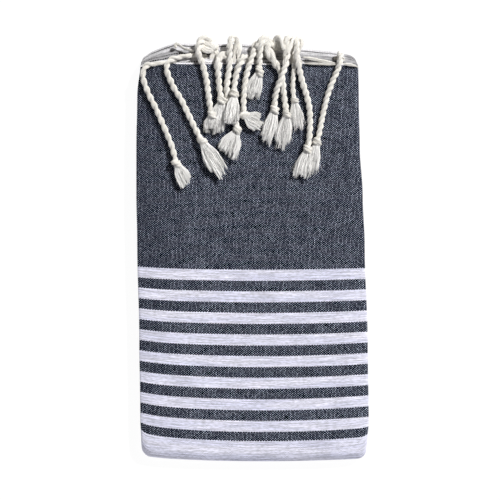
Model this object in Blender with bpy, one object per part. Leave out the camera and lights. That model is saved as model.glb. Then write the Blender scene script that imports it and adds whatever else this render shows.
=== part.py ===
"""A hammam towel of flat-woven cotton, folded in four across and in four along,
lying on its back with its knotted fringe flipped over onto the front.

Frame: X across the folded towel, +Y towards the fringed end, +Z up from the
surface it rests on. The origin is under the middle of the towel's box. Metres.
"""
import math

import bmesh
import bpy
from mathutils import Matrix, Vector

# ---- the cloth -------------------------------------------------------------
SHEET = 0.00115          # thickness of the woven cloth
LAYER = 0.0015           # from one layer to the next in the packet of four
PACKET = 0.0061          # from one packet of four layers to the next
FOLDED_WIDTH = 0.2573    # across the folded towel, before its sides draw in
FOOT_Y = -0.2367         # the outer fold at the foot
HEAD_Y = 0.2286          # the fold at the head, behind the hems
HEM_Y = 0.2054           # the front layer's hem
HEM_STEP = 0.0045        # each layer's hem shows this much above the one in front
END_GAP = 0.0030         # the inner end stops this far short of the head fold

HALF = 1.5 * LAYER + SHEET / 2          # half the thickness of a packet
HEIGHT = 3 * PACKET + 2 * HALF          # the folded towel's thickness
FOOT_CENTRE = FOOT_Y + 1.5 * PACKET + HALF
HEAD_CENTRE = HEAD_Y - PACKET - HALF
LEFT_CENTRE = -FOLDED_WIDTH / 2 + (LAYER + SHEET) / 2
RIGHT_CENTRE = FOLDED_WIDTH / 2 - HALF

# Where the flat runs between folds are divided, as fractions of a full run. The
# selvedges, inside the packet, stop at the last but one of ACROSS.
ACROSS = (0.0, 0.016, 0.05, 0.13, 0.42, 0.72, 0.93, 0.984, 1.0)
ALONG = (0.0, 0.10, 0.38, 0.72, 0.92, 1.0)

# The folded towel's sides, from the foot to the head.
SIDES = (
    # y, left, right
    (-0.2363, -0.1231, 0.1264),
    (-0.1963, -0.1242, 0.1286),
    (-0.1080, -0.1253, 0.1275),
    (0.0024, -0.1276, 0.1242),
    (0.0576, -0.1286, 0.1220),
    (0.1128, -0.1286, 0.1187),
    (0.1680, -0.1276, 0.1176),
    (0.2054, -0.1242, 0.1171),
    (0.2363, -0.1215, 0.1160),
)

# How far the head's edge falls away across the square packet.
HEAD_EDGE = (
    # x, drop
    (-0.1290, 0.0175),
    (-0.1180, 0.0105),
    (-0.1060, 0.0058),
    (-0.0890, 0.0005),
    (-0.0700, 0.0018),
    (-0.0100, 0.0018),
    (0.0660, 0.0074),
    (0.1010, 0.0106),
    (0.1200, 0.0142),
    (0.1250, 0.0165),
    (0.1290, 0.0225),
)

# ---- the fringe ------------------------------------------------------------
ROPE_RADIUS = 0.0035     # out to a ply's corner
ROPE_FLAT = 0.52         # a twisted pair's thickness against its width
RING_TURN = math.radians(50)            # twist from one ring of the rope to the next
KNOT_RADIUS = 0.0051
KNOT_LEAN = 0.35         # slope of the groove between its wraps
KNOT_GROOVE = 0.24       # width of the groove, as a share of the knot's radius
LOCKS = (4, 2)           # locks across and through a brush
LOCK_ROOT = 0.0015       # width of a lock where it leaves the knot
BRUSH = (
    # how far the locks have opened, their width as a share of their place, their
    # distance from the brush's middle plane and their depth
    {"opened": 0.58, "width": 0.90, "apart": 0.0022, "depth": 0.0017},
    {"opened": 1.00, "width": 0.66, "apart": 0.0018, "depth": 0.0010},
)
MM = 0.001               # the tassels' table is in millimetres

# A tassel's root lies on the hem of one of the four layers, 1 at the front. Its
# rope then runs through the points, each with its height above the front, and
# fills out to its full thickness over the length "gather".
TASSELS = {
    "tassel_01": {
        "hem": 1, "root_x": -97.7, "gather": 26, "slim": 0.42, "turn": 15.0,
        "run": ((-106.6, 203.2, 2.4), (-116.0, 202.2, 3.0), (-120.0, 197.1, 3.9),
                (-121.1, 189.9, 3.9), (-118.9, 181.1, 3.9), (-113.7, 167.9, 3.9),
                (-107.3, 155.7, 3.9), (-101.6, 142.5, 3.9), (-94.4, 125.9, 3.9),
                (-89.1, 112.6, 4.2), (-86.0, 101.6, 5.2)),
        "knot": (-83.9, 93.3, 5.7), "tips": (-75.1, 67.4, 2.6), "spread": 5.5, "size": 0.92},
    "tassel_02": {
        "hem": 3, "root_x": -63.5, "gather": 30, "slim": 0.42, "turn": 15.0,
        "run": ((-71.2, 212.6, 0.5), (-82.3, 210.4, 1.7), (-91.4, 206.8, 3.2),
                (-95.1, 198.8, 3.9), (-92.7, 189.9, 3.9), (-86.1, 175.6, 3.9),
                (-78.5, 163.4, 3.9), (-71.8, 149.6, 3.9), (-65.7, 136.9, 4.0),
                (-60.2, 125.9, 5.0)),
        "knot": (-56.0, 118.2, 5.7), "tips": (-35.3, 79.5, 2.6), "spread": 9.0, "size": 0.95},
    "tassel_03": {
        "hem": 3, "root_x": -40.5, "gather": 24, "slim": 0.42, "turn": 15.0,
        "run": ((-43.2, 226.6, -4.0), (-50.6, 232.6, 0.6), (-58.4, 227.4, 6.2),
                (-60.2, 216.4, 5.8), (-55.2, 203.2, 4.3), (-50.9, 185.5, 4.1),
                (-48.7, 170.1, 4.2), (-46.9, 156.8, 4.8)),
        "knot": (-46.0, 146.2, 5.7), "tips": (-49.6, 128.1, 2.6), "spread": 6.5, "size": 1.0},
    "tassel_04": {
        "hem": 2, "root_x": -38.3, "gather": 12, "slim": 0.42, "turn": 15.0,
        "run": ((-38.1, 206.6, 3.9), (-38.0, 194.4, 3.9), (-36.9, 181.1, 3.9),
                (-36.0, 171.8, 4.9)),
        "knot": (-35.6, 162.3, 5.7), "tips": (-35.4, 134.7, 3.0), "spread": 4.6, "size": 1.0},
    "tassel_05": {
        "hem": 3, "root_x": -15.5, "gather": 24, "slim": 0.42, "turn": 15.0,
        "run": ((-16.7, 226.6, -4.0), (-21.3, 232.4, 1.2), (-24.7, 225.8, 6.8),
                (-25.3, 212.0, 5.0), (-25.6, 199.9, 3.9), (-27.4, 187.7, 3.9),
                (-28.5, 177.8, 3.9), (-28.1, 169.0, 3.9), (-26.0, 160.1, 3.9),
                (-22.3, 151.3, 3.9), (-19.4, 141.5, 4.6)),
        "knot": (-17.1, 130.3, 5.7), "tips": (-27.1, 100.5, 2.6), "spread": 9.0, "size": 1.0},
    "tassel_06": {
        "hem": 3, "root_x": -6.0, "gather": 14, "slim": 0.42, "turn": 15.0,
        "run": ((-9.4, 211.8, 1.6), (-13.8, 204.4, 3.8), (-17.3, 194.4, 3.9),
                (-18.9, 182.2, 4.8)),
        "knot": (-18.2, 172.2, 7.2), "tips": (-22.6, 139.1, 12.0), "spread": 5.0, "size": 1.0},
    "tassel_07": {
        "hem": 2, "root_x": 4.5, "gather": 12, "slim": 0.42, "turn": 15.0,
        "run": ((-0.6, 208.8, 3.4), (-5.0, 197.7, 3.9), (-8.1, 183.3, 3.9),
                (-9.6, 169.0, 3.9), (-10.0, 156.8, 4.6)),
        "knot": (-9.4, 146.3, 5.7), "tips": (8.3, 139.1, 2.6), "spread": 9.0, "size": 0.95},
    "tassel_08": {
        "hem": 3, "root_x": 22.5, "gather": 24, "slim": 0.42, "turn": 15.0,
        "run": ((20.8, 226.4, -4.0), (15.1, 232.8, 1.2), (9.5, 227.6, 6.8),
                (8.3, 216.4, 5.6), (7.8, 206.8, 4.5)),
        "knot": (7.7, 194.9, 5.2), "tips": (0.4, 164.5, 2.6), "spread": 6.5, "size": 1.0},
    "tassel_09": {
        "hem": 2, "root_x": 28.2, "gather": 18, "slim": 0.55, "turn": 15.0,
        "run": ((29.0, 206.7, 3.4), (32.0, 196.6, 3.9), (33.2, 185.5, 3.9),
                (34.3, 172.3, 3.9), (36.1, 159.0, 4.8)),
        "knot": (37.5, 148.0, 5.7), "tips": (32.0, 111.0, 2.6), "spread": 7.0, "size": 0.95},
    "tassel_10": {
        "hem": 3, "root_x": 43.0, "gather": 24, "slim": 0.42, "turn": 15.0,
        "run": ((43.3, 223.6, -4.6), (42.4, 230.4, -2.0), (41.1, 232.9, 2.0),
                (39.8, 230.4, 5.8), (38.4, 222.4, 7.8), (37.7, 212.6, 7.8),
                (36.1, 201.0, 10.0), (32.1, 188.8, 11.6), (27.5, 176.7, 9.0),
                (24.6, 164.5, 5.8)),
        "knot": (24.3, 152.9, 5.3), "tips": (17.1, 116.0, 2.6), "spread": 7.0, "size": 1.0},
    "tassel_11": {
        "hem": 2, "root_x": 47.4, "gather": 10, "slim": 0.42, "turn": 14.0,
        "run": ((46.6, 204.6, 3.2), (45.2, 192.1, 3.2), (44.5, 176.7, 3.6)),
        "knot": (46.2, 162.9, 5.0), "tips": (51.9, 129.2, 2.6), "spread": 6.0, "size": 0.8},
    "tassel_12": {
        "hem": 3, "root_x": 54.5, "gather": 24, "slim": 0.42, "turn": 16.0,
        "run": ((55.0, 226.4, -4.0), (51.8, 232.2, 1.6), (50.3, 225.2, 7.8),
                (50.9, 214.2, 8.8), (52.0, 204.3, 8.8), (53.2, 194.4, 6.4),
                (55.3, 182.2, 3.9), (59.5, 169.0, 3.9), (62.6, 154.6, 3.9),
                (63.5, 139.1, 3.9), (62.6, 121.7, 4.8)),
        "knot": (60.7, 108.8, 5.7), "tips": (53.0, 77.3, 2.6), "spread": 8.0, "size": 1.0},
    "tassel_13": {
        "hem": 2, "root_x": 100.5, "gather": 12, "slim": 0.42, "turn": 14.0,
        "run": ((98.2, 203.5, 3.9), (94.9, 196.7, 3.9), (88.5, 184.4, 3.9),
                (83.2, 170.1, 3.9), (79.2, 154.6, 3.9), (76.1, 140.2, 3.9),
                (73.4, 126.0, 4.8)),
        "knot": (70.8, 116.5, 5.7), "tips": (67.9, 86.1, 2.6), "spread": 4.8, "size": 0.95},
}


def clamp(value, low=0.0, high=1.0):
    return max(low, min(high, value))


def smooth(value):
    value = clamp(value)
    return value * value * (3 - 2 * value)


def finish_mesh(bm, name, collection):
    mesh = bpy.data.meshes.new(name)
    bm.to_mesh(mesh)
    bm.free()
    made = bpy.data.objects.new(name, mesh)
    collection.objects.link(made)
    return made


def material(name, colour, roughness):
    look = bpy.data.materials.new(name)
    look.use_nodes = True
    shader = look.node_tree.nodes["Principled BSDF"]
    shader.inputs["Base Color"].default_value = (*colour, 1)
    shader.inputs["Roughness"].default_value = roughness
    shader.inputs["Metallic"].default_value = 0
    return look


# ---- how the folded packet is drawn out of square --------------------------
def sides_at(y):
    """The left and right sides at this height up the towel."""
    for (y0, left0, right0), (y1, left1, right1) in zip(SIDES, SIDES[1:]):
        if y <= y1:
            break
    t = smooth((y - y0) / (y1 - y0))
    return left0 + (left1 - left0) * t, right0 + (right1 - right0) * t


def bow(x, y):
    """The cloth rides up towards both sides, more so lower down."""
    r = abs(x - 0.010) / 0.1237
    rise = 0.0055 * r ** 2
    if x < 0:
        rise += 0.0028 * r ** 8
    share = clamp((0.085 - y) / 0.298)
    share -= 0.35 * clamp((-0.213 - y) / 0.0233)
    return rise * share


def head_drop(x, y):
    """The head's edge falls away at both corners and a little to the right."""
    for (x0, drop0), (x1, drop1) in zip(HEAD_EDGE, HEAD_EDGE[1:]):
        if x <= x1:
            break
    drop = drop0 + (drop1 - drop0) * clamp((x - x0) / (x1 - x0))
    return drop * clamp((y - 0.180) / 0.046) ** 2


def foot_corner(x, y):
    """The two corners at the foot are rounded."""
    radius = 0.010
    inside = clamp((FOLDED_WIDTH / 2 - abs(x)) / radius)
    lift = radius * (1 - math.sqrt(1 - 0.96 * (1 - inside) ** 2))
    return lift * smooth((-0.190 - y) / 0.0463)


def thickness_share(x, y):
    """The packet is thinner towards its sides and its foot, and not quite even."""
    side = clamp(1 - (FOLDED_WIDTH / 2 - abs(x)) / 0.034)
    foot = clamp(1 - (y - FOOT_Y) / 0.045)
    head = clamp(1 - (HEAD_Y - y) / 0.050)
    wave = 0.010 * math.sin(x / 0.027 + y / 0.110) + 0.010 * math.sin(y / 0.046 - x / 0.090)
    return 0.985 - 0.10 * side ** 2 - 0.07 * foot ** 2 - 0.05 * head ** 2 + wave


def settle(point):
    """Moves a point of the square packet to where it lies in the real, uneven one."""
    x, y, z = point
    left, right = sides_at(y)
    across = (x + FOLDED_WIDTH / 2) / FOLDED_WIDTH
    new_y = y + bow(x, y) - head_drop(x, y) + foot_corner(x, y)
    return Vector((left + (right - left) * across, new_y, z * thickness_share(x, y)))


# ---- folding ---------------------------------------------------------------
def fold_line(start, heading, steps):
    """Walks a folded section: each step is a run (length, fractions) or a half
    turn (radius, pieces, way). Gives length along it, place and heading."""
    place = Vector(start)
    angle = heading
    length = 0.0
    nodes = [(length, place.copy(), angle)]
    for kind, size, pieces, way in steps:
        ahead = Vector((math.cos(angle), math.sin(angle)))
        if kind == "run":
            for part in pieces[1:]:
                nodes.append((length + size * part, place + ahead * size * part, angle))
            place = place + ahead * size
            length += size
        else:
            side = Vector((-ahead.y, ahead.x)) * way
            middle = place + side * size
            for k in range(1, pieces + 1):
                turned = math.pi * k / pieces
                spot = middle - side * size * math.cos(turned) + ahead * size * math.sin(turned)
                nodes.append((length + size * turned, spot, angle + way * turned))
            place = middle + side * size
            angle += way * math.pi
            length += size * math.pi
    return nodes


def backwards(fractions):
    return tuple(1 - part for part in reversed(fractions))


def width_fold():
    """Across: both edges folded in, then the whole folded in two."""
    outer = RIGHT_CENTRE - LEFT_CENTRE
    reach = ACROSS[-2]
    inner = tuple(part / reach for part in ACROSS[:-1])
    return fold_line((LEFT_CENTRE + outer * reach, 0.5 * LAYER), math.pi, (
        ("run", outer * reach, backwards(inner), 0),
        ("turn", LAYER / 2, 3, -1),
        ("run", outer, ACROSS, 0),
        ("turn", 1.5 * LAYER, 6, -1),
        ("run", outer, backwards(ACROSS), 0),
        ("turn", LAYER / 2, 3, -1),
        ("run", outer * reach, inner, 0),
    ))


def length_fold():
    """Along: rolled flat in four, the fringed end in front and the other inside."""
    full = HEAD_CENTRE - FOOT_CENTRE
    front = HEM_Y - FOOT_CENTRE
    last = full - END_GAP
    from_hem = (0.0,) + tuple(1 - full * (1 - part) / front for part in ALONG[1:])
    to_end = backwards((0.0,) + tuple(1 - full * (1 - part) / last for part in ALONG[1:]))
    return fold_line((HEM_Y, 3 * PACKET + HALF), math.pi, (
        ("run", front, from_hem, 0),
        ("turn", 1.5 * PACKET, 7, 1),
        ("run", full, backwards(ALONG), 0),
        ("turn", PACKET, 4, 1),
        ("run", full, ALONG, 0),
        ("turn", PACKET / 2, 3, 1),
        ("run", last, to_end, 0),
    ))


def folded_point(across, along, rise, hem_share):
    """A point of the cloth: its section across, carried round the folds along."""
    _, spot, heading = across
    _, place, turned = along
    x = spot.x - math.sin(heading) * rise
    h = spot.y + math.cos(heading) * rise
    depth = 1.5 - spot.y / LAYER
    y = place.x + math.sin(turned) * h + HEM_STEP * depth * hem_share
    z = place.y - math.cos(turned) * h
    return settle((x, y, z))


def make_towel(collection):
    """A flat slab of cloth is divided where it folds, and its points are folded."""
    across = width_fold()
    along = length_fold()
    bm = bmesh.new()
    bmesh.ops.create_grid(bm, x_segments=len(across) - 1, y_segments=len(along) - 1, size=1)
    slab = bmesh.ops.extrude_face_region(bm, geom=bm.faces[:], use_keep_orig=True)
    for item in slab["geom"]:
        if isinstance(item, bmesh.types.BMVert):
            item.co.z = 1
    bmesh.ops.recalc_face_normals(bm, faces=bm.faces[:])
    for vert in bm.verts:
        column = round((vert.co.x + 1) / 2 * (len(across) - 1))
        row = round((1 - vert.co.y) / 2 * (len(along) - 1))
        rise = (vert.co.z - 0.5) * SHEET
        hem_share = 1 if row == 0 else 0
        vert.co = folded_point(across[column], along[row], rise, hem_share)
    return finish_mesh(bm, "towel", collection)


# ---- the fringe ------------------------------------------------------------
def square_x(x, y):
    left, right = sides_at(y)
    return FOLDED_WIDTH * ((x - left) / (right - left) - 0.5)


def front_height(x, y):
    y = min(y, HEAD_Y)
    return HEIGHT * thickness_share(clamp(square_x(x, y), LEFT_CENTRE, RIGHT_CENTRE), y)


def root_point(hem, x):
    """Just off the hem of one of the front packet's four layers."""
    step = (hem - 1) * HEM_STEP
    height = HEIGHT - SHEET / 2 - (hem - 1) * LAYER
    spot = settle((square_x(x, HEM_Y), HEM_Y + step, height))
    return spot + Vector((0, 0.0016, 0.0013))


def curve_through(points, spacing):
    """An even walk along a smooth curve through the points."""
    ends = [points[0] * 2 - points[1]] + points + [points[-1] * 2 - points[-2]]
    fine = []
    for a, b, c, d in zip(ends, ends[1:], ends[2:], ends[3:]):
        for k in range(24):
            t = k / 24
            fine.append(0.5 * (2 * b + (c - a) * t + (2 * a - 5 * b + 4 * c - d) * t * t
                               + (3 * b - a - 3 * c + d) * t ** 3))
    fine.append(points[-1])
    lengths = [0.0]
    for a, b in zip(fine, fine[1:]):
        lengths.append(lengths[-1] + (b - a).length)
    count = max(4, round(lengths[-1] / spacing))
    walk = []
    k = 0
    for step in range(count + 1):
        want = lengths[-1] * step / count
        while k < len(lengths) - 2 and lengths[k + 1] < want:
            k += 1
        t = (want - lengths[k]) / (lengths[k + 1] - lengths[k])
        walk.append(fine[k].lerp(fine[k + 1], clamp(t)))
    return walk, lengths[-1]


def ply_profile():
    """The section of a twisted pair of plies: a flat bar, whose turns are the lay."""
    data = bpy.data.curves.new("ply_profile", "CURVE")
    data.dimensions = "2D"
    spline = data.splines.new("POLY")
    spline.points.add(3)
    wide = ROPE_RADIUS * math.sqrt(1 - ROPE_FLAT ** 2)
    thick = ROPE_RADIUS * ROPE_FLAT
    corners = ((-wide, -thick), (wide, -thick), (wide, thick), (-wide, thick))
    for point, (x, y) in zip(spline.points, corners):
        point.co = (x, y, 0, 1)
    spline.use_cyclic_u = True
    profile = bpy.data.objects.new("ply_profile", data)
    profile.hide_render = True
    profile.display_type = "WIRE"
    return profile


def rope_mesh(name, row, profile, collection):
    """The rope, from its thin root at the hem, twisted all the way to the knot."""
    points = [root_point(row["hem"], row["root_x"] * MM)]
    for x, y, lift in row["run"] + (row["knot"],):
        points.append(Vector((x * MM, y * MM, front_height(x * MM, y * MM) + lift * MM)))
    spacing = row["turn"] * MM * RING_TURN / math.tau
    walk, length = curve_through(points, spacing)
    data = bpy.data.curves.new(name, "CURVE")
    data.dimensions = "3D"
    data.bevel_mode = "OBJECT"
    data.bevel_object = profile
    data.use_fill_caps = True
    data.twist_mode = "MINIMUM"
    spline = data.splines.new("POLY")
    spline.points.add(len(walk) - 1)
    for k, (point, place) in enumerate(zip(spline.points, walk)):
        gone = length * k / (len(walk) - 1) / (row["gather"] * MM)
        point.co = (*place, 1)
        point.radius = row["size"] * (row["slim"] + (1 - row["slim"]) * smooth(gone))
        point.tilt = -RING_TURN * max(0.0, k - 2)
    rope = bpy.data.objects.new(name, data)
    collection.objects.link(rope)
    bpy.context.view_layer.update()
    graph = bpy.context.evaluated_depsgraph_get()
    mesh = bpy.data.meshes.new_from_object(rope.evaluated_get(graph))
    bpy.data.objects.remove(rope)
    bm = bmesh.new()
    bm.from_mesh(mesh)
    bpy.data.meshes.remove(mesh)
    bmesh.ops.remove_doubles(bm, verts=bm.verts[:], dist=0.00002)
    bmesh.ops.recalc_face_normals(bm, faces=bm.faces[:])
    return bm, walk


def knot_bmesh(row, middle, heading):
    """An overhand knot: a hard round of rope with the groove between its two wraps."""
    bm = bmesh.new()
    bmesh.ops.create_uvsphere(bm, u_segments=7, v_segments=7, radius=1)
    radius = KNOT_RADIUS * row["size"]
    for vert in bm.verts:
        groove = (vert.co.z + KNOT_LEAN * vert.co.x) / KNOT_GROOVE
        swell = 1.06 - 0.24 * math.exp(-groove ** 2)
        vert.co = Vector((vert.co.x * swell, vert.co.y * swell, vert.co.z)) * radius
    turn = heading.to_track_quat("Z", "Y").to_matrix().to_4x4()
    bm.transform(Matrix.Translation(middle) @ turn)
    return bm


def brush_bmesh(row, knot, tips):
    """The frayed end: a head inside the knot, with locks drawn out from it."""
    ahead = (tips - knot).normalized()
    side = Vector((0, 0, 1)).cross(ahead).normalized()
    over = ahead.cross(side)
    length = (tips - knot).length
    columns, rows = LOCKS
    wide = LOCK_ROOT * columns / 2 * row["size"]
    thick = LOCK_ROOT * rows / 2 * row["size"]
    head = KNOT_RADIUS * 0.62
    bm = bmesh.new()
    bmesh.ops.create_grid(bm, x_segments=columns, y_segments=rows, size=1)
    slab = bmesh.ops.extrude_face_region(bm, geom=bm.faces[:], use_keep_orig=True)
    for item in slab["geom"]:
        if isinstance(item, bmesh.types.BMVert):
            item.co.z = 1
    bmesh.ops.recalc_face_normals(bm, faces=bm.faces[:])
    locks = []
    for face in bm.faces:
        middle = face.calc_center_median()
        if middle.z > 0.9:
            locks.append((face, middle.x, middle.y))
    for vert in bm.verts:
        reach = head if vert.co.z > 0.5 else -head / 2
        vert.co = knot + side * wide * vert.co.x + over * thick * vert.co.y + ahead * reach
    for face, across, through in locks:
        ragged = 1 - 0.16 * abs(math.sin(5.1 * across + 2.3 * through + row["root_x"]))
        for stage in BRUSH:
            grown = bmesh.ops.extrude_discrete_faces(bm, faces=[face])["faces"][0]
            half = wide + (row["spread"] * MM - wide) * stage["opened"]
            out = head + (length - head) * (0.45 if stage is BRUSH[0] else ragged)
            centre = knot + ahead * out + side * half * across + over * stage["apart"] * through
            middle = grown.calc_center_median()
            for vert in grown.verts:
                off = vert.co - middle
                across_way = math.copysign(half / columns * stage["width"], off.dot(side))
                over_way = math.copysign(stage["depth"] / 2, off.dot(over))
                vert.co = centre + side * across_way + over * over_way
            face = grown
    return bm


def make_tassel(name, row, profile, collection, tools):
    bm, walk = rope_mesh(name, row, profile, tools)
    rope = finish_mesh(bm, name, collection)
    knot = walk[-1]
    x, y, lift = row["tips"]
    tips = Vector((x * MM, y * MM, front_height(x * MM, y * MM) + lift * MM))
    end = brush_bmesh(row, knot, tips)
    ball = knot_bmesh(row, knot, (tips - walk[-4]).normalized())
    spare = bpy.data.meshes.new("knot")
    ball.to_mesh(spare)
    ball.free()
    end.from_mesh(spare)
    bpy.data.meshes.remove(spare)
    knot_and_brush = finish_mesh(end, name + "_end", tools)
    knot_and_brush.hide_render = True
    knot_and_brush.display_type = "WIRE"
    join = rope.modifiers.new("knot_and_brush", "BOOLEAN")
    join.operation = "UNION"
    join.solver = "EXACT"
    join.use_self = True
    join.object = knot_and_brush
    return rope


def main():
    for old in list(bpy.data.objects):
        bpy.data.objects.remove(old, do_unlink=True)
    collection = bpy.data.collections.new("hammam_towel")
    tools = bpy.data.collections.new("hammam_towel_tools")
    bpy.context.scene.collection.children.link(collection)
    bpy.context.scene.collection.children.link(tools)
    towel = make_towel(collection)
    towel.data.materials.append(material("charcoal_cotton", (0.069, 0.076, 0.102), 0.9))
    profile = ply_profile()
    tools.objects.link(profile)
    for name, row in TASSELS.items():
        tassel = make_tassel(name, row, profile, collection, tools)
        tassel.data.materials.append(material(name + "_cream", (0.753, 0.701, 0.610), 0.9))


main()
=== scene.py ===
"""Looks of the folded hammam towel: its woven and striped cloth, sheet by sheet as it
is folded, and the thirteen twisted and knotted tassels that lie over its front.

The solids' folds are repeated here from the same named sizes, and the tassels' runs
with small changes. The cloth's pattern is read from its own coordinates, stored as the
UV map "cloth": metres across from one selvedge, and metres along from the fringed hem.
"""
import math

import bpy
import numpy as np
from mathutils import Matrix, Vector


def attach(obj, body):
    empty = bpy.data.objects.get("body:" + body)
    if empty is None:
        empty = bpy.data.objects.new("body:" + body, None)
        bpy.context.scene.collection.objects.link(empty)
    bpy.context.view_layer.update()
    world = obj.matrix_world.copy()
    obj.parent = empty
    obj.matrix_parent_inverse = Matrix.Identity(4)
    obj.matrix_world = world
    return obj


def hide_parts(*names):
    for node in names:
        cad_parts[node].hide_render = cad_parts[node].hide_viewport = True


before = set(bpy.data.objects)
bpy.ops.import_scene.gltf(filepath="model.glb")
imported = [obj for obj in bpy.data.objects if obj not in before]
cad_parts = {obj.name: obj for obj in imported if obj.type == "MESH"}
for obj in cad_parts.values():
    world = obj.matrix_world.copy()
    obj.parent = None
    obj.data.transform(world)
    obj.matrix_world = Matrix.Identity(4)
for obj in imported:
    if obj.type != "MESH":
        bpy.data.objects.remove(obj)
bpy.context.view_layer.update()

# ---- the cloth, as in the solids -------------------------------------
SHEET = 0.00115          # thickness of the woven cloth
LAYER = 0.0015           # from one layer to the next in the packet of four
PACKET = 0.0061          # from one packet of four layers to the next
FOLDED_WIDTH = 0.2573    # across the folded towel, before its sides draw in
FOOT_Y = -0.2367         # the outer fold at the foot
HEAD_Y = 0.2286          # the fold at the head, behind the hems
HEM_Y = 0.2054           # the front layer's hem
HEM_STEP = 0.0045        # each layer's hem shows this much above the one in front
END_GAP = 0.0030         # the inner end stops this far short of the head fold
HALF = 1.5 * LAYER + SHEET / 2
HEIGHT = 3 * PACKET + 2 * HALF
FOOT_CENTRE = FOOT_Y + 1.5 * PACKET + HALF
HEAD_CENTRE = HEAD_Y - PACKET - HALF
LEFT_CENTRE = -FOLDED_WIDTH / 2 + (LAYER + SHEET) / 2
RIGHT_CENTRE = FOLDED_WIDTH / 2 - HALF
OUTER = RIGHT_CENTRE - LEFT_CENTRE      # a full run across, between folds
SELVEDGE = 0.984         # where the folded-in edges stop, as a share of a full run
SIDES = np.array((
    # y, left, right
    (-0.2363, -0.1231, 0.1264),
    (-0.1963, -0.1242, 0.1286),
    (-0.1080, -0.1253, 0.1275),
    (0.0024, -0.1276, 0.1242),
    (0.0576, -0.1286, 0.1220),
    (0.1128, -0.1286, 0.1187),
    (0.1680, -0.1276, 0.1176),
    (0.2054, -0.1242, 0.1171),
    (0.2363, -0.1215, 0.1160),
))

HEAD_EDGE = np.array((
    # x, how far the head's edge falls away
    (-0.1290, 0.0175),
    (-0.1180, 0.0105),
    (-0.1060, 0.0058),
    (-0.0890, 0.0005),
    (-0.0700, 0.0018),
    (-0.0100, 0.0018),
    (0.0660, 0.0074),
    (0.1010, 0.0106),
    (0.1200, 0.0142),
    (0.1250, 0.0165),
    (0.1290, 0.0225),
))

# Across the front the cloth bows, its sides nearer the head than its middle.
BOW_CENTRE = 0.010
BOW_REACH = 0.1237       # from there to a side
BOW_RISE = 0.0055
BOW_LEFT = 0.0012        # what the left edge has on top of that
BOW_FROM = 0.085         # no bow above this, and all of it after BOW_RUN
BOW_RUN = 0.298
BOW_FOOT = (0.35, -0.213, 0.0233)       # eased by this share, from here, over this run
HEAD_DROP = (0.180, 0.046)              # where the head's edge starts to fall, over what run
CORNER_RADIUS = 0.010    # of the foot's corners, seen from the front
CORNER_ROUND = 0.96
CORNER = (-0.190, 0.0463)               # from here, over this run
# The pad is thinner near its edges, over this reach and by this share of its height.
PAD = 0.985
SIDE_THINS = (0.034, 0.10)
FOOT_THINS = (0.045, 0.07)
HEAD_THINS = (0.050, 0.05)
PAD_WAVE = 0.010
CREASES_FADE = (0.150, 0.060)           # no crease above this, and all of it after this run
HEM_FULL = (0.0030, 0.35)               # the hem's edge is this long and this much thicker

HEM_CURL = np.array((
    # x, how far the front hem stands up
    (-0.0950, 0.0010),
    (-0.0850, 0.0),
    (0.0500, 0.0),
    (0.0620, 0.0022),
))

# ---- the weave -------------------------------------------------------
WARP_PITCH = 0.00150     # from one warp thread to the next
WEFT_PITCH = 0.00120
STRIPES_FROM = 0.2294    # from the fringed hem to the first white stripe
STRIPE_PITCH = 0.02385
STRIPE_WIDTH = 0.0122
STRIPES = 8
BAND = (0.4188, 0.4740)  # the wide white band, round the fold at the foot
HEAD_BAND = (0.8800, 0.9400)  # and another, round the fold at the head
HEAD_LINE = 0.9183       # its darkest weft
HEAD_LINES = 0.0029      # from one thin dark weft to the next
HEAD_LINES_DARK = 0.24   # its darkest line, partly dark weft and partly painted shadow where the hems meet the fold
HEAD_LINE_HALF = 0.0006
FRONT_EDGE = 0.0019      # white wefts at the hem, on the front layer
INNER_EDGE = 0.0120      # and on the layers behind it
TOOTH = 0.0003           # how far a white weft's edge steps round the warp
WANDER = 0.16            # how far a warp thread strays, in threads
DRIFT = 0.18             # and a weft thread
FRONT_FROM = OUTER * SELVEDGE + math.pi * LAYER / 2     # across, where the front layer begins
FRONT_EDGE_FROM = (0.028, 0.044)        # from there on, its hem's white comes in
# Past this, at the right, the front hem's white is left out, so the shade under the rolls falls
# on dark ground and reads black: painted shade.
FRONT_EDGE_TO = (0.166, 0.184)          # and goes out
# Painted shade: from here to the right side and round the right fold, the whites of the hems and
# the head darken, for the fold in shadow.
CORNER_SHADE = (0.016, 0.007)            # short of the right side, where its whites are duller
WEAVE_RELIEF = 0.00022
YARN_RELIEF = 0.00018

# Soft troughs and ridges pressed into the pad: a line across the front, how far the
# crease reaches to each side of it, and its height at the front face.
CREASES = (
    # x0, y0, x1, y1, reach, height (mm)
    (-112, 150, -104, -60, 16, -0.50),
    (-60, 120, -72, -40, 26, 0.35),
    (-20, 60, -30, -200, 34, -0.30),
    (38, 100, 30, -120, 22, 0.35),
    (84, 150, 92, -30, 18, -0.40),
    (104, 60, 108, -200, 12, 0.30),
    (-120, -150, -60, -170, 14, -0.35),
    (20, -196, 110, -184, 13, -0.30),
    (-90, 20, 20, 4, 30, 0.20),
    (10, -60, 118, -40, 24, -0.22),
    (-116, -96, -30, -112, 15, 0.22),
    (-70, -216, 60, -221, 9, -0.25),
)

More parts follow.
